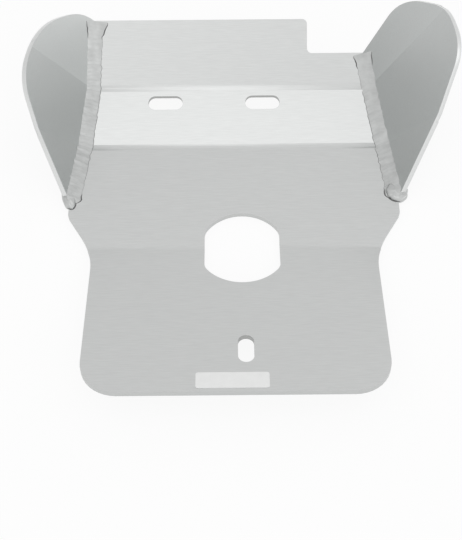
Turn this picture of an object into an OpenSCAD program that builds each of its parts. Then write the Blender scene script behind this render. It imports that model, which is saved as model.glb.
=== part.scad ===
// Motorcycle engine skid plate: one folded aluminium sheet with a flared wing
// welded to each side. Millimetres, +X to the right, +Y to the front of the
// motorcycle, +Z up. The origin is the middle of the floor panel's underside.

/* [Sheet] */
// Thickness of the sheet, for the plate and both wings
sheet_t = 3.2; // [2:0.1:5]
// Inside radius of the folds
fold_r = 12; // [4:0.5:16]

/* [Panels] */
// Width of the rear panel
rear_w = 162; // [140:1:170]
// Length of the rear panel, from its edge to the rear fold
rear_l = 101.9; // [96:0.1:130]
// Radius of the two rear corners
rear_corner_r = 20; // [4:1:30]
// Length of the floor panel, between the rear and the middle fold
floor_l = 71; // [64:1:90]
// Length of the slotted panel, between the middle and the front fold
slotted_l = 38; // [34:0.5:50]
// Length of the front panel, from the front fold to its edge
front_l = 41; // [34:0.5:52]
// Angle of the rear fold
rear_bend = 13; // [5:0.5:18]
// Angle of the middle fold
middle_bend = 17.5; // [8:0.5:24]
// Angle of the front fold
front_bend = 18; // [8:0.5:24]

/* [Shoulders] */
// Width across the shoulders, behind the wings
shoulder_w = 193; // [188:1:202]
// Length of the flare from the waist to the shoulder
flare_l = 25; // [20:1:30]
// How far behind the rear fold the flare starts
flare_back = 3; // [0:1:8]
// Radius of the waist
waist_r = 49; // [10:1:60]
// Radius of the shoulder
shoulder_r = 5; // [2:0.5:8]

/* [Drain hole] */
// Diameter of the drain hole
drain_d = 50; // [46:0.5:58]
// Width across the two flats of the drain hole
drain_flats = 43; // [34:0.5:45]
// Corner radius at the ends of the flats
drain_corner_r = 8; // [2:0.5:10]
// Distance of the hole's centre to the right of the middle
drain_x = 4.5; // [-10:0.5:10]
// Distance of the hole's centre behind the rear fold
drain_back = 2; // [0:0.1:6]

/* [Slots] */
// Width of the three bolt slots
slot_w = 8.6; // [6:0.1:11]
// Length of the rear slot
rear_slot_l = 18; // [12:0.5:26]
// Distance of the rear slot to the right of the middle
rear_slot_x = 5.6; // [-20:0.1:20]
// Distance of the rear slot's centre behind the rear fold
rear_slot_back = 74; // [55:0.5:82]
// Length of the two front slots
front_slot_l = 21; // [12:0.5:28]
// Distance of the left front slot from the middle
left_slot_x = 41; // [25:0.5:55]
// Distance of the right front slot from the middle
right_slot_x = 18; // [10:0.5:30]
// Distance of the front slots ahead of the middle fold
front_slot_v = 28.5; // [20:0.5:29]

/* [Notch] */
// Distance of the notch's inner edge from the middle
notch_x = 45.5; // [40:0.5:60]
// Depth of the notch from the front edge
notch_depth = 20.5; // [10:0.5:26]
// Radius of the notch's corners
notch_r = 3; // [1:0.5:5]

/* [Left wing] */
// Distance of the wing's tip ahead of the rear fold
left_tip_v = 34; // [30:0.5:40]
// Distance of the wing's foot from the middle, at the tip
left_foot_tip = 94.9; // [90:0.1:97]
// Distance of the wing's foot from the middle, at the middle fold
left_foot_middle = 90.3; // [87:0.1:93]
// Distance of the wing's foot from the middle, at the front fold
left_foot_front = 85.8; // [83:0.1:88]
// Distance of the wing's foot from the middle, at its front end
left_foot_end = 83.9; // [80:0.1:86]
// Outward lean of the rear leaf from square to its panel
left_lean_rear = 32; // [26:0.5:38]
// Outward lean of the middle leaf
left_lean_middle = 32.5; // [27:0.5:38]
// Outward lean of the front leaf
left_lean_front = 35.5; // [30:0.5:40]
// Rear shoulder of the wing's outline: how far ahead of the middle fold
left_rear_run = 7.1; // [3:0.1:10]
// Height of the rear shoulder above the foot
left_rear_rise = 62.8; // [56:0.1:68]
// Radius of the rear shoulder
left_rear_r = 31; // [10:1:34]
// Crown of the wing's outline: how far ahead of the front fold
left_crown_run = 6; // [3:0.1:9]
// Height of the crown above the foot at the front fold
left_crown_rise = 54.8; // [50:0.1:60]
// Radius of the crown
left_crown_r = 42; // [20:1:44]
// Front shoulder of the wing's outline: how far ahead of the foot's front end
left_front_run = -3; // [-6:0.1:-1]
// Height of the front shoulder above the foot's front end
left_front_rise = 12; // [11:0.1:16]
// Radius of the front shoulder
left_front_r = 31; // [12:1:33]

/* [Right wing] */
// Distance of the wing's tip ahead of the rear fold
right_tip_v = 34.5; // [30:0.5:40]
// Distance of the wing's foot from the middle, at the tip
right_foot_tip = 95.2; // [92:0.1:98]
// Distance of the wing's foot from the middle, at the middle fold
right_foot_middle = 90.8; // [88:0.1:93]
// Distance of the wing's foot from the middle, at the front fold
right_foot_front = 84; // [82:0.1:87]
// Distance of the wing's foot from the middle, at the notch
right_foot_end = 79.6; // [77:0.1:82]
// Outward lean of the rear leaf from square to its panel
right_lean_rear = 33; // [28:0.5:38]
// Outward lean of the middle leaf
right_lean_middle = 34.5; // [30:0.5:39]
// Outward lean of the front leaf
right_lean_front = 42.5; // [38:0.5:47]
// Rear shoulder of the wing's outline: how far ahead of the middle fold
right_rear_run = 12.5; // [8:0.1:16]
// Height of the rear shoulder above the foot
right_rear_rise = 79.1; // [73:0.1:84]
// Radius of the rear shoulder
right_rear_r = 25; // [10:0.5:27]
// Crown of the wing's outline: how far ahead of the front fold
right_crown_run = 1; // [-2:0.1:4]
// Height of the crown above the foot at the front fold
right_crown_rise = 73; // [68:0.1:78]
// Radius of the crown
right_crown_r = 23; // [10:1:26]
// Front shoulder of the wing's outline: how far ahead of the foot's front end
right_front_run = 6.3; // [3:0.1:9]
// Height of the front shoulder above the foot's front end
right_front_rise = 42.8; // [38:0.1:48]
// Radius of the front shoulder
right_front_r = 26; // [8:1:29]

/* [Wings] */
// How far a wing's foot reaches down past the plate's top face
wing_lap = 1.7; // [1:0.1:2]
// Height of the blunt end at a wing's tip
tip_h = 5; // [3:0.5:8]

/* [Welds] */
// Length of a weld bead's legs
weld_leg = 5.4; // [3:0.1:6]
// How much wider a bead is at its two ends, as a share of the leg
weld_pool = 0.3; // [0:0.05:0.4]
// Length over which a bead widens to its end
pool_l = 9; // [5:0.5:14]
// Distance between the ripples of a weld bead
ripple_pitch = 2.4; // [1.6:0.1:4]
// Height of the ripples as a share of the leg
ripple_rise = 0.1; // [0:0.01:0.2]
// Distance of a bead's rear end from the wing's tip
weld_start = 1; // [0.5:0.5:6]
// Distance of a bead's front end from the wing's front end
weld_stop = 2; // [1.5:0.5:10]

/* [Hidden] */
$fn = 64;
aluminium = [0.78, 0.79, 0.78];
bead_colour = [0.7, 0.7, 0.69];
// Reach of the tools that cut past an edge
reach = 200;

// Panels from the rear to the front, each with its slope and the point of its
// fold line, on the top face. The pattern's v runs along the sheet from the
// rear fold.
REAR = 0;
FLOOR = 1;
SLOTTED = 2;
FRONT = 3;
slope = [-rear_bend, 0, middle_bend, middle_bend + front_bend];
fold_v = [0, 0, floor_l, floor_l + slotted_l];
bend = [0, rear_bend, middle_bend, front_bend];
// How far the cuts on two panels run past the fold between them
joint = 0.2 + sheet_t * tan(max(bend) / 2);
front_v = fold_v[FRONT] + front_l;
notch_v = front_v - notch_depth;
rear_fold_at = [0, -floor_l / 2, sheet_t];
middle_fold_at = rear_fold_at + [0, floor_l, 0];
front_fold_at = middle_fold_at + slotted_l * [0, cos(middle_bend), sin(middle_bend)];
fold_at = [rear_fold_at, rear_fold_at, middle_fold_at, front_fold_at];

function along(i) = [0, cos(slope[i]), sin(slope[i])];
function normal(i) = [0, -sin(slope[i]), cos(slope[i])];
function on_panel(i, x, v) = fold_at[i] + [x, 0, 0] + (v - fold_v[i]) * along(i);

function unit(v) = v / norm(v);
// Vector v turned about the unit axis k
function turn(v, k, a) = v * cos(a) + cross(k, v) * sin(a) + k * (k * v) * (1 - cos(a));
// Angle from vector a to vector b about the axis k
function angle_about(a, b, k) = atan2(cross(a, b) * k, a * b);

// Outline through corners [x, y, radius], each rounded by its own radius
function corner_arc(a, b, c, r, steps = 10) =
    let (u = unit([a[0] - b[0], a[1] - b[1]]), w = unit([c[0] - b[0], c[1] - b[1]]))
    let (half = acos(u * w) / 2, centre = [b[0], b[1]] + unit(u + w) * r / sin(half))
    let (from = [b[0], b[1]] + u * r / tan(half) - centre)
    let (side = u[0] * w[1] - u[1] * w[0] > 0 ? -1 : 1, sweep = side * (180 - 2 * half))
    [for (k = [0 : steps]) let (t = sweep * k / steps)
        centre + [from[0] * cos(t) - from[1] * sin(t), from[0] * sin(t) + from[1] * cos(t)]];
function rounded(p) = [for (i = [0 : len(p) - 1])
    let (a = p[(i + len(p) - 1) % len(p)], b = p[i], c = p[(i + 1) % len(p)])
    each b[2] > 0 ? corner_arc(a, b, c, b[2]) : [[b[0], b[1]]]];

// A wing's measures, from its tip to its front end. The foot is the line where
// its inner face meets the top of the plate.
left_spec = [
    [left_foot_tip, left_foot_middle, left_foot_front, left_foot_end],
    [left_tip_v, fold_v[SLOTTED], fold_v[FRONT], front_v],
    [left_lean_rear, left_lean_middle, left_lean_front],
    [[left_rear_run, left_rear_rise, left_rear_r],
     [left_crown_run, left_crown_rise, left_crown_r],
     [left_front_run, left_front_rise, left_front_r]]];
right_spec = [
    [right_foot_tip, right_foot_middle, right_foot_front, right_foot_end],
    [right_tip_v, fold_v[SLOTTED], fold_v[FRONT], notch_v],
    [right_lean_rear, right_lean_middle, right_lean_front],
    [[right_rear_run, right_rear_rise, right_rear_r],
     [right_crown_run, right_crown_rise, right_crown_r],
     [right_front_run, right_front_rise, right_front_r]]];

// Foot points and leaves are counted from the tip. Leaf i stands on panel i + 1.
function foot(s, k) = on_panel(min(k + 1, FRONT), s[0][k], s[1][k]);
function foot_dir(s, i) = unit(foot(s, i + 1) - foot(s, i));
function outward(s, i) = unit(cross(foot_dir(s, i), normal(i + 1)));
function leaf_normal(s, i) = cos(s[2][i]) * outward(s, i) - sin(s[2][i]) * normal(i + 1);
// Line where leaf i meets the next one
function crease(s, i) =
    let (l = unit(cross(leaf_normal(s, i), leaf_normal(s, i + 1)))) l[2] > 0 ? l : -l;
function crease_turn(s, i) = angle_about(leaf_normal(s, i), leaf_normal(s, i + 1), crease(s, i));
// Directions along and up leaf i, carried over the creases as the flat sheet
// is when it is bent
function leaf_x(s, i) = i == 0 ? foot_dir(s, 0)
    : turn(leaf_x(s, i - 1), crease(s, i - 1), crease_turn(s, i - 1));
function leaf_y(s, i) = cross(leaf_normal(s, i), leaf_x(s, i));
// Place of foot point k in the wing's flat pattern, with 0, 0 at the middle fold
function flat_foot(s, k) = k == 1 ? [0, 0]
    : k == 0 ? [-norm(foot(s, 1) - foot(s, 0)), 0]
    : let (d = foot(s, k) - foot(s, k - 1))
        flat_foot(s, k - 1) + [d * leaf_x(s, k - 1), d * leaf_y(s, k - 1)];
// Crease i leaves foot point i + 1 at this angle in the flat pattern
function crease_angle(s, i) = atan2(crease(s, i) * leaf_y(s, i), crease(s, i) * leaf_x(s, i));
function leaf_origin(s, i) =
    let (k = max(i, 1), f = flat_foot(s, k))
        foot(s, k) - f[0] * leaf_x(s, i) - f[1] * leaf_y(s, i);

// Stands the flat pattern of a right-hand wing in the plane of leaf i, with its
// inner face at zero and the sheet outside it
module on_leaf(s, i) {
    x = leaf_x(s, i);
    y = leaf_y(s, i);
    z = leaf_normal(s, i);
    o = leaf_origin(s, i);
    multmatrix([
        [x[0], y[0], z[0], o[0]],
        [x[1], y[1], z[1], o[1]],
        [x[2], y[2], z[2], o[2]]]) children();
}

// Moves the plate's flat pattern onto panel i, with zero at the top face
module lay_on(i) {
    translate(fold_at[i]) rotate([slope[i], 0, 0]) translate([0, -fold_v[i], 0]) children();
}

module slot(l, w) {
    translate([-l / 2 + w / 2, 0]) circle(d = w);
    translate([l / 2 - w / 2, 0]) circle(d = w);
    square([l - w, w], center = true);
}

function arc(centre, r, from, to, steps) = [for (k = [0 : steps])
    let (t = from + (to - from) * k / steps) centre + r * [cos(t), sin(t)]];

// Round hole with a flat on each side, and a small radius where they meet
module drain_hole() {
    r = drain_corner_r;
    x = drain_flats / 2 - r;
    y = sqrt(pow(drain_d / 2 - r, 2) - x * x);
    lean = atan2(y, x);
    half = concat(
        arc([x, y], r, 0, lean, 4),
        arc([0, 0], drain_d / 2, lean, 180 - lean, 24),
        arc([-x, y], r, 180 - lean, 180, 4));
    polygon(concat(half, [for (p = half) -p]));
}

// Flat pattern of the plate. Its sides run straight on past the shoulders, and
// the wings trim them.
module blank() {
    side = [
        [rear_w / 2, -rear_l, rear_corner_r],
        [rear_w / 2, -flare_back, waist_r],
        [shoulder_w / 2, flare_l - flare_back, shoulder_r]];
    left = [for (k = [2 : -1 : 0]) [-side[k][0], side[k][1], side[k][2]]];
    difference() {
        polygon(rounded(concat(side, [
            [shoulder_w / 2, notch_v, 0],
            [notch_x, notch_v, notch_r],
            [notch_x, front_v, notch_r],
            [-shoulder_w / 2, front_v, 0]], left)));
        translate([drain_x, -drain_back]) drain_hole();
        translate([rear_slot_x, -rear_slot_back]) rotate(90) slot(rear_slot_l, slot_w);
        translate([-left_slot_x, floor_l + front_slot_v]) slot(front_slot_l, slot_w);
        translate([right_slot_x, floor_l + front_slot_v]) slot(front_slot_l, slot_w);
    }
}

// Side view of the folded sheet, with its folds as arcs
module sheet_section(steps = 8) {
    function across(a) = [-sin(a), cos(a)];
    function flat2(p) = [p[1], p[2]];
    function fold_arc(i, r) = let (half = bend[i] / 2)
        let (centre = flat2(fold_at[i]) + across(slope[i] - half) * fold_r / cos(half))
        [for (k = [0 : steps]) centre - across(slope[i] - bend[i] * (1 - k / steps)) * r];
    function face(depth) = concat(
        [flat2(on_panel(REAR, 0, -rear_l) - depth * normal(REAR))],
        [for (i = [FLOOR : FRONT]) each fold_arc(i, fold_r + depth)],
        [flat2(on_panel(FRONT, 0, front_v) - depth * normal(FRONT))]);
    top = face(0);
    polygon(concat(face(sheet_t), [for (k = [len(top) - 1 : -1 : 0]) top[k]]));
}

// What the flat pattern leaves out of panel i, from one v to another
module waste(i, from, to) {
    lay_on(i) translate([0, 0, -2 * sheet_t]) linear_extrude(4 * sheet_t) difference() {
        translate([-reach, from]) square([2 * reach, to - from]);
        blank();
    }
}

// Everything outside the inner face of a right-hand wing
module beyond_wing(s) {
    for (i = [0 : 2]) on_leaf(s, i) translate([flat_foot(s, i)[0], -reach / 2, 0])
        cube([reach, reach, reach / 2]);
}

module main_plate() {
    color(aluminium) difference() {
        rotate([90, 0, 90]) translate([0, 0, -shoulder_w / 2 - 1])
            linear_extrude(shoulder_w + 2) sheet_section();
        waste(REAR, -rear_l - 1, joint);
        waste(FLOOR, -joint, floor_l + joint);
        waste(SLOTTED, floor_l - joint, fold_v[FRONT] + joint);
        waste(FRONT, fold_v[FRONT] - joint, front_v + 1);
        beyond_wing(right_spec);
        mirror([1, 0, 0]) beyond_wing(left_spec);
    }
}

// Teardrop outline of a wing in its flat pattern. Its three corners are measured
// from the foot at the middle fold, at the front fold and at the front end.
module wing_outline(s) {
    f = [for (k = [0 : 3]) flat_foot(s, k)];
    polygon(rounded(concat(
        [[f[0][0], tip_h, 0], [f[0][0], -wing_lap, 0]],
        [for (k = [1 : 3]) [f[k][0], f[k][1] - wing_lap, 0]],
        [[f[3][0], f[3][1], 0]],
        [for (k = [3 : -1 : 1]) let (c = s[3][k - 1]) [f[k][0] + c[0], f[k][1] + c[1], c[2]]])));
}

// What the flat pattern leaves out of leaf i, from one crease to the next and a
// little past both
module leaf_waste(s, i) {
    margin = joint + sheet_t;
    on_leaf(s, i) translate([0, 0, -sheet_t]) linear_extrude(3 * sheet_t) difference() {
        intersection() {
            square(4 * reach, center = true);
            if (i > 0) translate(flat_foot(s, i)) rotate(crease_angle(s, i - 1) - 90)
                translate([-margin, -4 * reach]) square(8 * reach);
            if (i < 2) translate(flat_foot(s, i + 1)) rotate(crease_angle(s, i) - 90)
                translate([margin - 8 * reach, -4 * reach]) square(8 * reach);
        }
        wing_outline(s);
    }
}

// Everything on the inner side of a wing's faces at the given depth in its sheet
module inside_wing(s, depth, size) {
    difference() {
        translate([0, -size / 2, -size / 2]) cube(size);
        for (i = [0 : 2]) on_leaf(s, i) translate([-size, -size, depth]) cube(2 * size);
    }
}

module wing(s) {
    color(aluminium) difference() {
        inside_wing(s, sheet_t, 2 * reach);
        inside_wing(s, 0, 4 * reach);
        for (i = [0 : 2]) leaf_waste(s, i);
    }
}
module left_wing() { mirror([1, 0, 0]) wing(left_spec); }
module right_wing() { wing(right_spec); }

// Stations of a bead, each [leaf, distance from the leaf's foot point], kept
// clear of the creases, where one mitred ring joins the two runs
function leaf_run(s, i) = norm(foot(s, i + 1) - foot(s, i));
function stations(s) = [for (i = [0 : 2])
    let (step = ripple_pitch / 4, from = i == 0 ? weld_start : weld_leg / 2)
    let (to = leaf_run(s, i) - (i == 2 ? weld_stop : weld_leg / 2))
    let (n = ceil((to - from) / step))
    each [for (k = [0 : n]) [i, from + (to - from) * k / n]]];

// Height of a ripple, which steps up and then runs down to the next one
function ripple(d) = 1 + ripple_rise * (1 - d / ripple_pitch + floor(d / ripple_pitch));

// Fillet along a wing's foot, flat on the plate and on the wing, with a rippled
// face and rounded ends
module weld(s) {
    st = stations(s);
    run = [for (k = [0 : len(st) - 1]) st[k][1] + (st[k][0] > 0 ? leaf_run(s, 0) : 0)
        + (st[k][0] > 1 ? leaf_run(s, 1) : 0)];
    last = run[len(run) - 1];
    sides = 6;
    rings = [for (k = [0 : len(st) - 1])
        let (i = st[k][0], at = foot(s, i) + st[k][1] * foot_dir(s, i))
        let (end = min(run[k] - run[0], last - run[k]), tip = min(end / weld_leg, 1))
        let (widening = 1 + weld_pool * max(0, 1 - end / pool_l))
        let (leg = weld_leg * widening * (0.35 + 0.65 * sqrt(1 - pow(1 - tip, 2))))
        let (size = leg * ripple(run[k]), p = -outward(s, i), h = leaf_y(s, i))
        let (flank = [at + leg * p, at + leg * h])
        [at, flank[0],
         at + size * (0.72 * p + 0.2 * h),
         at + size * (0.48 * p + 0.46 * h),
         at + size * (0.2 * p + 0.72 * h),
         flank[1]]];
    color(bead_colour) polyhedron(
        points = [for (r = rings) each r],
        faces = concat(
            [[for (j = [0 : sides - 1]) j]],
            [for (k = [0 : len(rings) - 2], j = [0 : sides - 1])
                let (a = k * sides + j, b = k * sides + (j + 1) % sides)
                each [[a, a + sides, b], [b, a + sides, b + sides]]],
            [[for (j = [sides - 1 : -1 : 0]) (len(rings) - 1) * sides + j]]));
}
module left_weld() { mirror([1, 0, 0]) weld(left_spec); }
module right_weld() { weld(right_spec); }

main_plate();
left_wing();
right_wing();
left_weld();
right_weld();
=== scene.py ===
import math

import bmesh
import bpy
from mathutils import Matrix, Vector, noise


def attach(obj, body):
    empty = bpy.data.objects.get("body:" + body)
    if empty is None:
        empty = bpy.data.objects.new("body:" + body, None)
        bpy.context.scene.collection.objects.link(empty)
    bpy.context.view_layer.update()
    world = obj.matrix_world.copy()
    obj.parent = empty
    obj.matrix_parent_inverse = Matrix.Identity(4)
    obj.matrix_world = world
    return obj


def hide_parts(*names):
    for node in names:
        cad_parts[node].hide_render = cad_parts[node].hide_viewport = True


MM = 0.001
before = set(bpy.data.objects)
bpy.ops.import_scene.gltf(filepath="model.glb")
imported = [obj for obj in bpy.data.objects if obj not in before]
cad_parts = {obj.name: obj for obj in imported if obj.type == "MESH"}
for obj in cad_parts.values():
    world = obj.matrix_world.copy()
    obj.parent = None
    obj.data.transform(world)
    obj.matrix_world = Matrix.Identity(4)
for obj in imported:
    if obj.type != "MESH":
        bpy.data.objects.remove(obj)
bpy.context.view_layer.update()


# Driving dimensions of the folded plate, in millimetres and degrees
SHEET_T = 3.2
REAR_BEND, MIDDLE_BEND, FRONT_BEND = 13.0, 17.5, 18.0
REAR_L, FLOOR_L, SLOTTED_L, FRONT_L = 101.9, 71.0, 38.0, 41.0
NOTCH_DEPTH = 20.5
REAR, FLOOR, SLOTTED, FRONT = range(4)
SLOPE = [math.radians(a) for a in (-REAR_BEND, 0.0, MIDDLE_BEND, MIDDLE_BEND + FRONT_BEND)]
FOLD_V = [0.0, 0.0, FLOOR_L, FLOOR_L + SLOTTED_L]
FRONT_V = FOLD_V[FRONT] + FRONT_L
NOTCH_V = FRONT_V - NOTCH_DEPTH

# Each wing's foot, from its tip to its front end, and the outward lean of its three leaves
LEFT = {"side": -1, "foot_x": (94.9, 90.3, 85.8, 83.9), "lean": (32.0, 32.5, 35.5),
        "foot_v": (34.0, FOLD_V[SLOTTED], FOLD_V[FRONT], FRONT_V)}
RIGHT = {"side": 1, "foot_x": (95.2, 90.8, 84.0, 79.6), "lean": (33.0, 34.5, 42.5),
         "foot_v": (34.5, FOLD_V[SLOTTED], FOLD_V[FRONT], NOTCH_V)}


def along(i):
    """Direction up panel i, to the front."""
    return Vector((0, math.cos(SLOPE[i]), math.sin(SLOPE[i])))


def normal(i):
    return Vector((0, -math.sin(SLOPE[i]), math.cos(SLOPE[i])))


REAR_FOLD = Vector((0, -FLOOR_L / 2, SHEET_T))
MIDDLE_FOLD = REAR_FOLD + FLOOR_L * along(FLOOR)
FRONT_FOLD = MIDDLE_FOLD + SLOTTED_L * along(SLOTTED)
FOLD_AT = [REAR_FOLD, REAR_FOLD, MIDDLE_FOLD, FRONT_FOLD]


def on_panel(i, x, v, height=0.0):
    """Point on the top face of panel i, in millimetres, v along the sheet from the rear fold."""
    return FOLD_AT[i] + Vector((x, 0, 0)) + (v - FOLD_V[i]) * along(i) + height * normal(i)


# Camera: fitted to the folds, the hole and the slots of the photograph
CAMERA_ELEVATION = math.radians(59.96)
CAMERA_ROLL = math.radians(0.5)
CAMERA_DISTANCE = 604.4
CAMERA_TARGET = on_panel(REAR, -2.0, -17.7)
FOCAL_PX = 1079.3
PHOTO_H = 540
SENSOR = 36.0
CLIP_START, CLIP_END = 0.01, 20.0


def add_camera():
    data = bpy.data.cameras.new("camera")
    data.sensor_width = SENSOR
    data.lens = FOCAL_PX / PHOTO_H * SENSOR
    data.clip_start = CLIP_START
    data.clip_end = CLIP_END
    camera = bpy.data.objects.new("camera", data)
    bpy.context.scene.collection.objects.link(camera)
    back = Vector((0, -math.cos(CAMERA_ELEVATION), math.sin(CAMERA_ELEVATION)))
    turn = back.to_track_quat("Z", "Y").to_matrix() @ Matrix.Rotation(-CAMERA_ROLL, 3, "Z")
    place = (CAMERA_TARGET + CAMERA_DISTANCE * back) * MM
    camera.matrix_world = Matrix.Translation(place) @ turn.to_4x4()
    bpy.context.scene.camera = camera


def node_tree(name):
    """New material with its node tree and its main shader."""
    material = bpy.data.materials.new(name)
    material.use_nodes = True
    tree = material.node_tree
    return material, tree, tree.nodes["Principled BSDF"]


def add(tree, kind, **values):
    """New node, with each value set as its property or else as its input."""
    node = tree.nodes.new(kind)
    for key, value in values.items():
        if hasattr(node, key):
            setattr(node, key, value)
        else:
            node.inputs[key].default_value = value
    return node


GRAIN = 0.06
GRAIN_STRETCH = (40, 900, 900)


def satin_aluminium(name, colour, roughness):
    """Bare sheet with faint rolling lines that run across the plate."""
    material, tree, shader = node_tree(name)
    shader.inputs["Metallic"].default_value = 1.0
    place = add(tree, "ShaderNodeTexCoord")
    stretch = add(tree, "ShaderNodeMapping")
    stretch.inputs["Scale"].default_value = GRAIN_STRETCH
    tree.links.new(place.outputs["Object"], stretch.inputs["Vector"])
    lines = add(tree, "ShaderNodeTexNoise", Scale=3.0, Detail=4.0)
    tree.links.new(stretch.outputs[0], lines.inputs["Vector"])
    tone = add(tree, "ShaderNodeValToRGB")
    tone.color_ramp.elements[0].position = 0.2
    tone.color_ramp.elements[1].position = 0.8
    tone.color_ramp.elements[0].color = (*[c * (1 - GRAIN) for c in colour], 1)
    tone.color_ramp.elements[1].color = (*[c * (1 + GRAIN) for c in colour], 1)
    tree.links.new(lines.outputs["Fac"], tone.inputs["Fac"])
    tree.links.new(tone.outputs["Color"], shader.inputs["Base Color"])
    shader.inputs["Roughness"].default_value = roughness
    return material


WELD_ROUGHNESS = 0.36


def weld_metal(name, colour):
    """As-welded aluminium: softly mottled, a little rougher than the sheet."""
    material, tree, shader = node_tree(name)
    shader.inputs["Metallic"].default_value = 1.0
    place = add(tree, "ShaderNodeTexCoord")
    cloud = add(tree, "ShaderNodeTexNoise", Scale=160.0, Detail=3.0)
    tree.links.new(place.outputs["Object"], cloud.inputs["Vector"])
    tone = add(tree, "ShaderNodeValToRGB")
    tone.color_ramp.elements[0].position = 0.3
    tone.color_ramp.elements[1].position = 0.7
    tone.color_ramp.elements[0].color = (*[c * 0.9 for c in colour], 1)
    tone.color_ramp.elements[1].color = (*[c * 1.05 for c in colour], 1)
    tree.links.new(cloud.outputs["Fac"], tone.inputs["Fac"])
    tree.links.new(tone.outputs["Color"], shader.inputs["Base Color"])
    shader.inputs["Roughness"].default_value = WELD_ROUGHNESS
    bump = add(tree, "ShaderNodeBump", Strength=0.3, Distance=0.0002)
    tree.links.new(cloud.outputs["Fac"], bump.inputs["Height"])
    tree.links.new(bump.outputs[0], shader.inputs["Normal"])
    return material


def crevice_shade_paint(name):
    """Dull dark colour for the tubes of painted shade in the crevices beside a weld."""
    material, tree, shader = node_tree(name)
    place = add(tree, "ShaderNodeTexCoord")
    cloud = add(tree, "ShaderNodeTexNoise", Scale=900.0, Detail=2.0)
    tree.links.new(place.outputs["Object"], cloud.inputs["Vector"])
    tone = add(tree, "ShaderNodeValToRGB")
    tone.color_ramp.elements[0].color = (0.07, 0.07, 0.07, 1)
    tone.color_ramp.elements[1].color = (0.2, 0.2, 0.2, 1)
    tree.links.new(cloud.outputs["Fac"], tone.inputs["Fac"])
    tree.links.new(tone.outputs["Color"], shader.inputs["Base Color"])
    shader.inputs["Roughness"].default_value = 0.7
    return material


def paint(obj, material):
    obj.data.materials.clear()
    obj.data.materials.append(material)


# Cut edges sharper than this angle are broken, and near-flat faces are joined first
MERGE_M = 2e-6
EDGE_RADIUS = 0.35
EDGE_ANGLE = math.radians(40)
FLAT_ANGLE = math.radians(0.3)
FLAT_FACING = math.cos(math.radians(0.6))


def softened(node, flats):
    """The CAD node's own surface, with its cut edges broken as a deburred sheet's are.

    The faces along the given flats are shaded flat, and the rest smooth."""
    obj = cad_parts[node].copy()
    obj.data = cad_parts[node].data.copy()
    obj.name = node + "_sheet"
    obj.parent = None
    for key in list(obj.keys()):
        del obj[key]
    bpy.context.scene.collection.objects.link(obj)
    mesh = bmesh.new()
    mesh.from_mesh(obj.data)
    bmesh.ops.remove_doubles(mesh, verts=mesh.verts, dist=MERGE_M)
    bmesh.ops.dissolve_limit(mesh, angle_limit=FLAT_ANGLE, verts=mesh.verts, edges=mesh.edges)
    bmesh.ops.bevel(mesh, geom=[e for e in mesh.edges if e.calc_face_angle(0) > EDGE_ANGLE],
                    offset=EDGE_RADIUS * MM, offset_type="OFFSET", segments=2,
                    profile=0.5, affect="EDGES", clamp_overlap=True)
    mesh.normal_update()
    for face in mesh.faces:
        face.smooth = all(abs(face.normal.dot(flat)) < FLAT_FACING for flat in flats)
    mesh.to_mesh(obj.data)
    mesh.free()
    return obj


def smooth_step(t):
    t = min(max(t, 0.0), 1.0)
    return t * t * (3 - 2 * t)


# A bead turns over this length at each crease, and its foot line is rounded by this much
CREASE_RUN = 8.0
FOOT_ROUNDING = 1.8


class Foot:
    """The line where a wing meets the plate, worked out for the right-hand side and mirrored."""

    def __init__(self, wing):
        self.side = wing["side"]
        self.points = [on_panel(min(k + 1, FRONT), x, v)
                       for k, (x, v) in enumerate(zip(wing["foot_x"], wing["foot_v"]))]
        runs = [b - a for a, b in zip(self.points, self.points[1:])]
        self.ends = [sum(r.length for r in runs[:k]) for k in range(4)]
        self.length = self.ends[3]
        self.forward = [r.normalized() for r in runs]
        self.out = [d.cross(normal(k + 1)).normalized() for k, d in enumerate(self.forward)]
        leans = [math.radians(a) for a in wing["lean"]]
        self.faces = [math.cos(a) * o - math.sin(a) * normal(k + 1)
                      for k, (a, o) in enumerate(zip(leans, self.out))]
        for face in self.faces:
            face.x *= self.side
        self.up = [math.sin(a) * o + math.cos(a) * normal(k + 1)
                   for k, (a, o) in enumerate(zip(leans, self.out))]

    def mixed(self, vectors, s):
        """One leaf's vector turned smoothly into the next leaf's around each crease."""
        first = smooth_step((s - self.ends[1]) / CREASE_RUN + 0.5)
        second = smooth_step((s - self.ends[2]) / CREASE_RUN + 0.5)
        return vectors[0].lerp(vectors[1], first).lerp(vectors[2], second)

    def on_line(self, s):
        k = 0 if s < self.ends[1] else 1 if s < self.ends[2] else 2
        return self.points[k] + (s - self.ends[k]) * self.forward[k]

    def at(self, s):
        """Point of the foot, rounded at the creases as the sheet is."""
        steps = [s + FOOT_ROUNDING * k for k in (-1.0, -0.5, 0.0, 0.5, 1.0)]
        return sum((self.on_line(t) for t in steps), Vector()) / len(steps)

    def point(self, s, inward, rise):
        """Point beside the foot, as far in over the plate and up the wing as given."""
        p = (self.at(s) - inward * self.mixed(self.out, s).normalized()
             + rise * self.mixed(self.up, s).normalized())
        return Vector((self.side * p.x, p.y, p.z))


# Weld bead: legs, the bulge of its face, the net of the skin, ripples and ragged toes
BEAD_LEG = 5.0
BEAD_BULGE = 0.47
BEAD_SIDES = 14
BEAD_STEP = 0.3
BEAD_SUNK = 0.08
RIPPLE_PITCH = 2.3
RIPPLE_DEPTH = 0.13
RIPPLE_CURVE = 1.6
RIPPLE_LEAN = 1.6
RIPPLE_DRIFT, DRIFT_WAVE = 0.35, 4.0
BEAD_SWELL, SWELL_WAVE = 0.22, 5.0
TOE_WANDER, WANDER_WAVE = 0.65, 2.4
TOE_SCALLOP = 0.13
TIP_RUN = 4.0
REAR_RUN = 12.0


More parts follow.
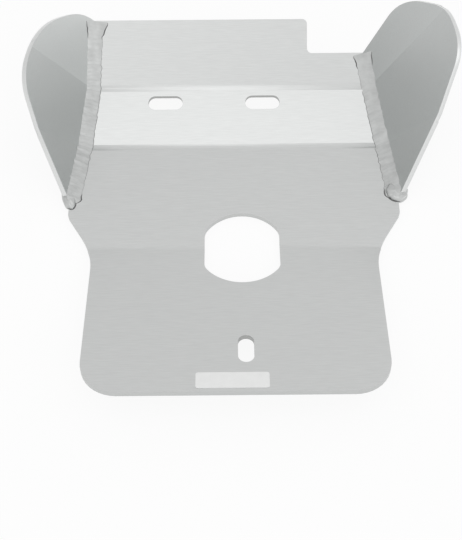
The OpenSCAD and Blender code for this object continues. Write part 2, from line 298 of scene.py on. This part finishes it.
def bead_legs(foot, bead, s):
    """Reach of the bead over the plate and up the wing, at distance s from the wing's tip."""
    front = smooth_step(1 - (foot.length - s) / bead["pool_run"])
    rear = smooth_step(1 - s / REAR_RUN)
    scallop = TOE_SCALLOP * abs(math.sin(math.pi * (s + RIPPLE_CURVE) / RIPPLE_PITCH))
    wander = [scallop + TOE_WANDER * noise.noise((s / WANDER_WAVE, bead["seed"] + k, 0.0))
              for k in (0.0, 7.3)]
    plate_leg = BEAD_LEG + wander[0] + bead["pool"][0] * front + bead["rear"] * rear
    wing_leg = BEAD_LEG + wander[1] + bead["pool"][1] * front
    tip = min(max((s - bead["start"]) / TIP_RUN, 0.0), 1.0)
    rounding = math.sqrt(1 - (1 - tip) ** 2)
    return plate_leg * rounding, wing_leg * rounding


def ripple(s, across, seed):
    """Height of the crescent ripples that the torch leaves, across running from toe to toe."""
    phase = (s + RIPPLE_CURVE * (2 * across - 1) ** 2) / RIPPLE_PITCH
    phase += RIPPLE_DRIFT * noise.noise((s / DRIFT_WAVE, seed, 3.0))
    wave = (phase % 1.0) ** RIPPLE_LEAN
    fade = 4 * across * (1 - across)
    swell = BEAD_SWELL * noise.noise((s / SWELL_WAVE, 3 * across, seed + 5.0))
    return fade * (swell - RIPPLE_DEPTH * wave)


SHARP_ANGLE = math.radians(50)


def mesh_object(name, rings):
    """Closed skin through rings of points given in millimetres."""
    mesh = bmesh.new()
    rows = [[mesh.verts.new(MM * p) for p in ring] for ring in rings]
    count = len(rows[0])
    for low, high in zip(rows, rows[1:]):
        for k in range(count):
            mesh.faces.new((low[k], low[(k + 1) % count], high[(k + 1) % count], high[k]))
    mesh.faces.new(rows[0])
    mesh.faces.new(list(reversed(rows[-1])))
    bmesh.ops.recalc_face_normals(mesh, faces=mesh.faces)
    for face in mesh.faces:
        face.smooth = True
    for edge in mesh.edges:
        edge.smooth = edge.calc_face_angle(0) < SHARP_ANGLE
    data = bpy.data.meshes.new(name)
    mesh.to_mesh(data)
    mesh.free()
    obj = bpy.data.objects.new(name, data)
    bpy.context.scene.collection.objects.link(obj)
    return obj


def weld_bead(name, foot, bead):
    """Fillet bead along a foot, with its root a little inside the corner."""
    count = int((foot.length - bead["stop"] - bead["start"]) / BEAD_STEP)
    rings = []
    for k in range(1, count + 1):
        s = bead["start"] + k * BEAD_STEP
        inward, rise = bead_legs(foot, bead, s)
        ring = []
        for j in range(BEAD_SIDES + 1):
            t = j / BEAD_SIDES
            a = (1 - t) ** 2 + 2 * t * (1 - t) * BEAD_BULGE
            b = t ** 2 + 2 * t * (1 - t) * BEAD_BULGE
            lift = ripple(s, t, bead["seed"])
            ring.append(foot.point(s, a * inward + lift, b * rise + lift))
        ring.append(foot.point(s, -BEAD_SUNK, -BEAD_SUNK))
        rings.append(ring)
    return mesh_object(name, rings)


# Pool of weld metal: its net, its depth below the sheet, its flat top and its uneven surface
POOL_ROWS, POOL_SIDES = 24, 40
POOL_BELOW = 0.6
POOL_FLATNESS = 0.65
POOL_SWELL = 0.1
POOL_LUMPS = 0.14


def weld_pool(name, centre, half, turn, seed):
    """Round pool of weld metal around a wing's tip, with its lower half inside the sheet."""
    rings = []
    for i in range(1, POOL_ROWS):
        lat = math.pi * i / POOL_ROWS
        ring = []
        for j in range(POOL_SIDES):
            lon = 2 * math.pi * j / POOL_SIDES
            unit = Vector((math.sin(lat) * math.cos(lon), math.sin(lat) * math.sin(lon), math.cos(lat)))
            swell = 1 + POOL_SWELL * noise.noise((2.6 * unit.x + seed, 2.6 * unit.y, 0.0))
            height = -POOL_BELOW if unit.z < 0 else abs(unit.z) ** POOL_FLATNESS
            height *= 1 + POOL_LUMPS * noise.noise((3.4 * unit.x, 3.4 * unit.y + seed, 4.0))
            local = Vector((unit.x * half[0] * swell, unit.y * half[1] * swell, half[2] * height))
            ring.append(centre + Matrix.Rotation(math.radians(turn), 3, "Z") @ local)
        rings.append(ring)
    return mesh_object(name, rings)


# Each bead: its noise seed, how far its ends stand from the foot's ends, and how much its
# legs widen over the plate and up the wing at the front, over what length, and at the rear
LEFT_BEAD = {"seed": 1.7, "start": -3.5, "stop": 0.4, "pool": (3.4, 1.6), "pool_run": 11.0, "rear": 0.0}
RIGHT_BEAD = {"seed": 9.2, "start": -2.0, "stop": 0.4, "pool": (0.8, 1.4), "pool_run": 9.0, "rear": 1.2}

# Painted shade: dark lines in the crevices, short ones beside the pools, and a thin one along each
# bead's lower toe
CREVICE_R = 0.42
CREVICE_STEPS, CREVICE_SIDES = 6, 8
CREVICE_OUT = 0.1
TOE_INSET = 2.0
TOE_LINE_R = 0.15
TOE_STEPS = 90


def crevice(name, points, radius):
    """Dark tube of painted shade along an undercut beside a weld, thin at both ends."""
    path = []
    for k in range(len(points) - 1):
        before, a, b = points[max(k - 1, 0)], points[k], points[k + 1]
        after = points[min(k + 2, len(points) - 1)]
        for i in range(CREVICE_STEPS):
            t = i / CREVICE_STEPS
            path.append(0.5 * (2 * a + (b - before) * t + (2 * before - 5 * a + 4 * b - after) * t ** 2
                               + (3 * a - before - 3 * b + after) * t ** 3))
    path.append(points[-1])
    rings = []
    for k, p in enumerate(path):
        ahead = path[min(k + 1, len(path) - 1)] - path[max(k - 1, 0)]
        side = ahead.cross(Vector((0, 0, 1))).normalized()
        up = side.cross(ahead).normalized()
        r = radius * (0.25 + 0.75 * math.sin(math.pi * k / (len(path) - 1)))
        rings.append([p + r * (math.cos(a) * side + 0.5 * math.sin(a) * up)
                      for a in (2 * math.pi * j / CREVICE_SIDES for j in range(CREVICE_SIDES))])
    return mesh_object(name, rings)


def toe_line(foot, bead, on_wing, start, stop, steps=7):
    """Points just outside a bead's toe, on the wing or on the plate."""
    points = []
    for k in range(steps + 1):
        s = start + (stop - start) * k / steps
        inward, rise = bead_legs(foot, bead, s)
        if on_wing:
            points.append(foot.point(s, 0.0, rise + CREVICE_OUT))
        else:
            points.append(foot.point(s, inward + CREVICE_OUT, 0.0))
    return points


def pool_rim(centre, half, turn, start, stop, steps=8):
    """Points just outside a pool, between two angles."""
    angles = [math.radians(start + (stop - start) * k / steps) for k in range(steps + 1)]
    return [centre + Matrix.Rotation(math.radians(turn), 3, "Z")
            @ Vector(((half[0] + CREVICE_OUT) * math.cos(a), (half[1] + CREVICE_OUT) * math.sin(a), 0.0))
            for a in angles]


LABEL_SIZE = (38.0, 10.0)
LABEL_AT = (-1.7, -94.7)
LABEL_T = 0.22
LABEL_CORNER = 1.3


def add_label():
    """Plain film label near the rear edge, with nothing on it."""
    outline = []
    for k, (sx, sy) in enumerate(((1, -1), (1, 1), (-1, 1), (-1, -1))):
        for i in range(7):
            a = math.radians(-90 + 90 * k + 90 * i / 6)
            outline.append((sx * (LABEL_SIZE[0] / 2 - LABEL_CORNER) + LABEL_CORNER * math.cos(a),
                            sy * (LABEL_SIZE[1] / 2 - LABEL_CORNER) + LABEL_CORNER * math.sin(a)))
    levels = ((0.0, 1.0), (LABEL_T * 0.7, 1.0), (LABEL_T, 0.995))
    rings = [[on_panel(REAR, LABEL_AT[0] + x * grow, LABEL_AT[1] + y * grow, height) for x, y in outline]
             for height, grow in levels]
    label = mesh_object("label", rings)
    for face in label.data.polygons:
        face.use_smooth = False
    material, tree, shader = node_tree("label_film")
    place = add(tree, "ShaderNodeTexCoord")
    cloud = add(tree, "ShaderNodeTexNoise", Scale=260.0, Detail=2.0)
    tree.links.new(place.outputs["Object"], cloud.inputs["Vector"])
    tone = add(tree, "ShaderNodeValToRGB")
    tone.color_ramp.elements[0].color = (0.78, 0.785, 0.78, 1)
    tone.color_ramp.elements[1].color = (0.84, 0.845, 0.84, 1)
    tree.links.new(cloud.outputs["Fac"], tone.inputs["Fac"])
    tree.links.new(tone.outputs["Color"], shader.inputs["Base Color"])
    shader.inputs["Roughness"].default_value = 0.5
    paint(label, material)
    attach(label, "root")


# Pools of weld metal around the wings' tips: centre, half sizes, turn and the part of the rim that gets
# a dark line of painted shade
POOLS = {
    "left_weld": (on_panel(FLOOR, -96.8, 33.9), (3.7, 7.3, 2.6), 19.0, (230.0, 350.0)),
    "right_weld": (on_panel(FLOOR, 96.0, 37.2), (6.4, 6.8, 2.8), 8.0, (165.0, 280.0))}


def dress_welds():
    """Beads in place of the plain ones, with the pools at the wings' tips and the dark lines of painted
    shade.
    """
    metal = weld_metal("weld_aluminium", (0.58, 0.59, 0.585))
    # Dark lines of painted shade beside the beads and pools
    dark = crevice_shade_paint("weld_crevice_shade")
    for node, wing, bead in (("left_weld", LEFT, LEFT_BEAD), ("right_weld", RIGHT, RIGHT_BEAD)):
        foot = Foot(wing)
        piece = weld_bead(node + "_bead", foot, bead)
        paint(piece, metal)
        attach(piece, "root")
        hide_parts(node)
        front = (foot.length - bead["pool_run"], foot.length - 1.0)
        lines = [toe_line(foot, bead, False, *front), toe_line(foot, bead, True, *front),
                 toe_line(foot, bead, False, bead["start"] + 0.4, bead["start"] + 8.0)]
        lines.append(toe_line(foot, bead, False, bead["start"] + TOE_INSET,
                              foot.length - TOE_INSET, TOE_STEPS))
        centre, half, turn, rim = POOLS[node]
        pool = weld_pool(node + "_pool", centre, half, turn, bead["seed"])
        paint(pool, metal)
        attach(pool, "root")
        lines.append(pool_rim(centre, half, turn, *rim))
        for k, points in enumerate(lines):
            radius = TOE_LINE_R if len(points) > TOE_STEPS else CREVICE_R
            line = crevice("%s_crevice_%d" % (node, k + 1), points, radius)
            paint(line, dark)
            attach(line, "root")


# Soft light from all round: a level by the direction's y, a slope by its x, and three
# softboxes, each with its direction, outer and inner angle and level: overhead, high on the
# near side and low on the right
LEVELS = [(-1.0, 0.95), (-0.66, 0.91), (-0.2, 0.95), (0.3, 0.87), (0.7, 0.84), (1.0, 0.82)]
SIDE_SLOPE = 0.05
SOFTBOXES = [
    ((-0.06, -0.06, 1.0), 25.0, 7.0, 0.39),
    ((-0.3, -0.65, 0.7), 26.0, 5.0, 0.2),
    ((0.94, -0.35, 0.1), 30.0, 8.0, 0.5)]


def softbox(tree, direction, centre, outer, inner, level):
    """Glow of the given level around a direction, fading out between two angles from it."""
    facing = add(tree, "ShaderNodeVectorMath", operation="DOT_PRODUCT")
    facing.inputs[1].default_value = Vector(centre).normalized()
    tree.links.new(direction, facing.inputs[0])
    glow = add(tree, "ShaderNodeMapRange", interpolation_type="SMOOTHSTEP")
    glow.inputs["From Min"].default_value = math.cos(math.radians(outer))
    glow.inputs["From Max"].default_value = math.cos(math.radians(inner))
    glow.inputs["To Max"].default_value = level
    tree.links.new(facing.outputs["Value"], glow.inputs["Value"])
    return glow.outputs[0]


def world_light():
    """Sum of the level, the slope and the softboxes, as one plain background."""
    world = bpy.data.worlds.new("studio")
    bpy.context.scene.world = world
    world.use_nodes = True
    tree = world.node_tree
    tree.nodes.clear()
    out = add(tree, "ShaderNodeOutputWorld")
    place = add(tree, "ShaderNodeTexCoord")
    split = add(tree, "ShaderNodeSeparateXYZ")
    tree.links.new(place.outputs["Generated"], split.inputs[0])
    spread = add(tree, "ShaderNodeMapRange")
    spread.inputs["From Min"].default_value = -1
    tree.links.new(split.outputs["Y"], spread.inputs["Value"])
    ramp = add(tree, "ShaderNodeValToRGB")
    tree.links.new(spread.outputs[0], ramp.inputs["Fac"])
    marks = ramp.color_ramp.elements
    while len(marks) < len(LEVELS):
        marks.new(0.5)
    for mark, (y, level) in zip(marks, LEVELS):
        mark.position = (y + 1) / 2
        mark.color = (level, level, level, 1)
    total = add(tree, "ShaderNodeMath", operation="MULTIPLY_ADD")
    total.inputs[1].default_value = SIDE_SLOPE
    tree.links.new(split.outputs["X"], total.inputs[0])
    tree.links.new(ramp.outputs[0], total.inputs[2])
    for box in SOFTBOXES:
        both = add(tree, "ShaderNodeMath", operation="ADD")
        tree.links.new(total.outputs[0], both.inputs[0])
        tree.links.new(softbox(tree, place.outputs["Generated"], *box), both.inputs[1])
        total = both
    studio = add(tree, "ShaderNodeBackground")
    tree.links.new(total.outputs[0], studio.inputs["Strength"])
    studio.inputs["Color"].default_value = (1, 1, 1, 1)
    tree.links.new(studio.outputs[0], out.inputs[0])


FLOOR_SIZE = 6
FLOOR_DROP = 0.00002
FLOOR_GREY = 0.9
FLOOR_GLOW = 0.88


def add_floor():
    """White floor that glows towards the camera and in reflections, and still takes shadows."""
    bpy.ops.mesh.primitive_plane_add(size=FLOOR_SIZE, location=(0, 0, -FLOOR_DROP))
    floor = bpy.context.object
    floor.name = "floor"
    material, tree, shader = node_tree("floor_white")
    shader.inputs["Base Color"].default_value = (FLOOR_GREY, FLOOR_GREY, FLOOR_GREY, 1)
    shader.inputs["Roughness"].default_value = 0.9
    out = tree.nodes["Material Output"]
    glow = add(tree, "ShaderNodeEmission", Strength=1.0)
    mix = add(tree, "ShaderNodeMixShader")
    ray = add(tree, "ShaderNodeLightPath")
    seen = ray.outputs["Is Camera Ray"]
    for kind in ("Is Glossy Ray", "Is Transmission Ray"):
        either = add(tree, "ShaderNodeMath", operation="MAXIMUM")
        tree.links.new(seen, either.inputs[0])
        tree.links.new(ray.outputs[kind], either.inputs[1])
        seen = either.outputs[0]
    share = add(tree, "ShaderNodeMath", operation="MULTIPLY")
    share.inputs[1].default_value = FLOOR_GLOW
    tree.links.new(seen, share.inputs[0])
    tree.links.new(share.outputs[0], mix.inputs[0])
    tree.links.new(shader.outputs[0], mix.inputs[1])
    tree.links.new(glow.outputs[0], mix.inputs[2])
    tree.links.new(mix.outputs[0], out.inputs[0])
    floor.data.materials.append(material)


# Finish of the plate, of the wings and of the cut edges
SHEET_ROUGHNESS = 0.28
WING_ROUGHNESS = 0.38
EDGE_ROUGHNESS = 0.35
SLOT_ROUGHNESS = 0.5
EDGE_FACING = 0.85

# Middles of the three bolt slots, and a radius that clears their ends
SLOTS = [on_panel(REAR, 5.6, -74.0), on_panel(SLOTTED, -41.0, 99.5), on_panel(SLOTTED, 18.0, 99.5)]
SLOT_RADIUS = 12.0


def paint_slot_shade(piece, material):
    """Darker colour on the narrow slots' walls: painted shade."""
    piece.data.materials.append(material)
    for polygon in piece.data.polygons:
        near = min((polygon.center / MM - slot).length for slot in SLOTS) < SLOT_RADIUS
        if near and polygon.material_index == 1:
            polygon.material_index = 2


def paint_leaf_light(piece, material, face):
    """Third material for the leaf along the given flat, a little lighter than the others: painted light.
    """
    piece.data.materials.append(material)
    for polygon in piece.data.polygons:
        if abs(polygon.normal.dot(face)) > FLAT_FACING:
            polygon.material_index = 2


def paint_edges(piece, material, faces):
    """Second material for the cut edges: what faces away from every flat of the sheet. Its colour is
    painted light: a lighter painted reflection on the wings, darker painted shade on the plate.
    """
    piece.data.materials.append(material)
    for polygon in piece.data.polygons:
        if all(abs(polygon.normal.dot(face)) < EDGE_FACING for face in faces):
            polygon.material_index = 1


def dress_plates():
    """Plate and wings in bare aluminium, with painted light and shade: darker wings with lighter front
    leaves, lighter or darker cut edges and darker slot walls.
    """
    sheet = satin_aluminium("sheet_aluminium", (0.66, 0.67, 0.665), SHEET_ROUGHNESS)
    # Cut edges: darker on the plate as painted shade, lighter on the wings as a painted reflection
    sheet_edge_shade = satin_aluminium("sheet_cut_edge_shade", (0.57, 0.58, 0.575), EDGE_ROUGHNESS)
    # Wings in a darker copy of the sheet's aluminium: painted shade
    leaf = satin_aluminium("wing_aluminium_shaded", (0.57, 0.585, 0.58), WING_ROUGHNESS)
    wing_edge_reflection = satin_aluminium("wing_cut_edge_reflection", (0.74, 0.75, 0.745), EDGE_ROUGHNESS)
    # Each wing's front leaf in a lighter copy: painted light
    front_leaf = {
        "left_wing": satin_aluminium("left_front_leaf_lit", (0.65, 0.665, 0.66), WING_ROUGHNESS),
        "right_wing": satin_aluminium("right_front_leaf_lit", (0.605, 0.62, 0.615), WING_ROUGHNESS)}
    panels = [normal(i) for i in range(4)]
    for node, wing in (("main_plate", None), ("left_wing", LEFT), ("right_wing", RIGHT)):
        flats = Foot(wing).faces if wing else panels
        piece = softened(node, flats)
        paint(piece, leaf if wing else sheet)
        paint_edges(piece, wing_edge_reflection if wing else sheet_edge_shade, flats)
        if not wing:
            # Narrow slots' walls in a darker copy of the sheet: painted shade
            paint_slot_shade(piece, satin_aluminium("slot_wall_shade", (0.46, 0.465, 0.46), SLOT_ROUGHNESS))
        else:
            paint_leaf_light(piece, front_leaf[node], flats[2])
        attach(piece, "root")
        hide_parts(node)


bpy.context.scene.view_settings.view_transform = "Standard"
add_camera()
world_light()
add_floor()
dress_plates()
dress_welds()
add_label()
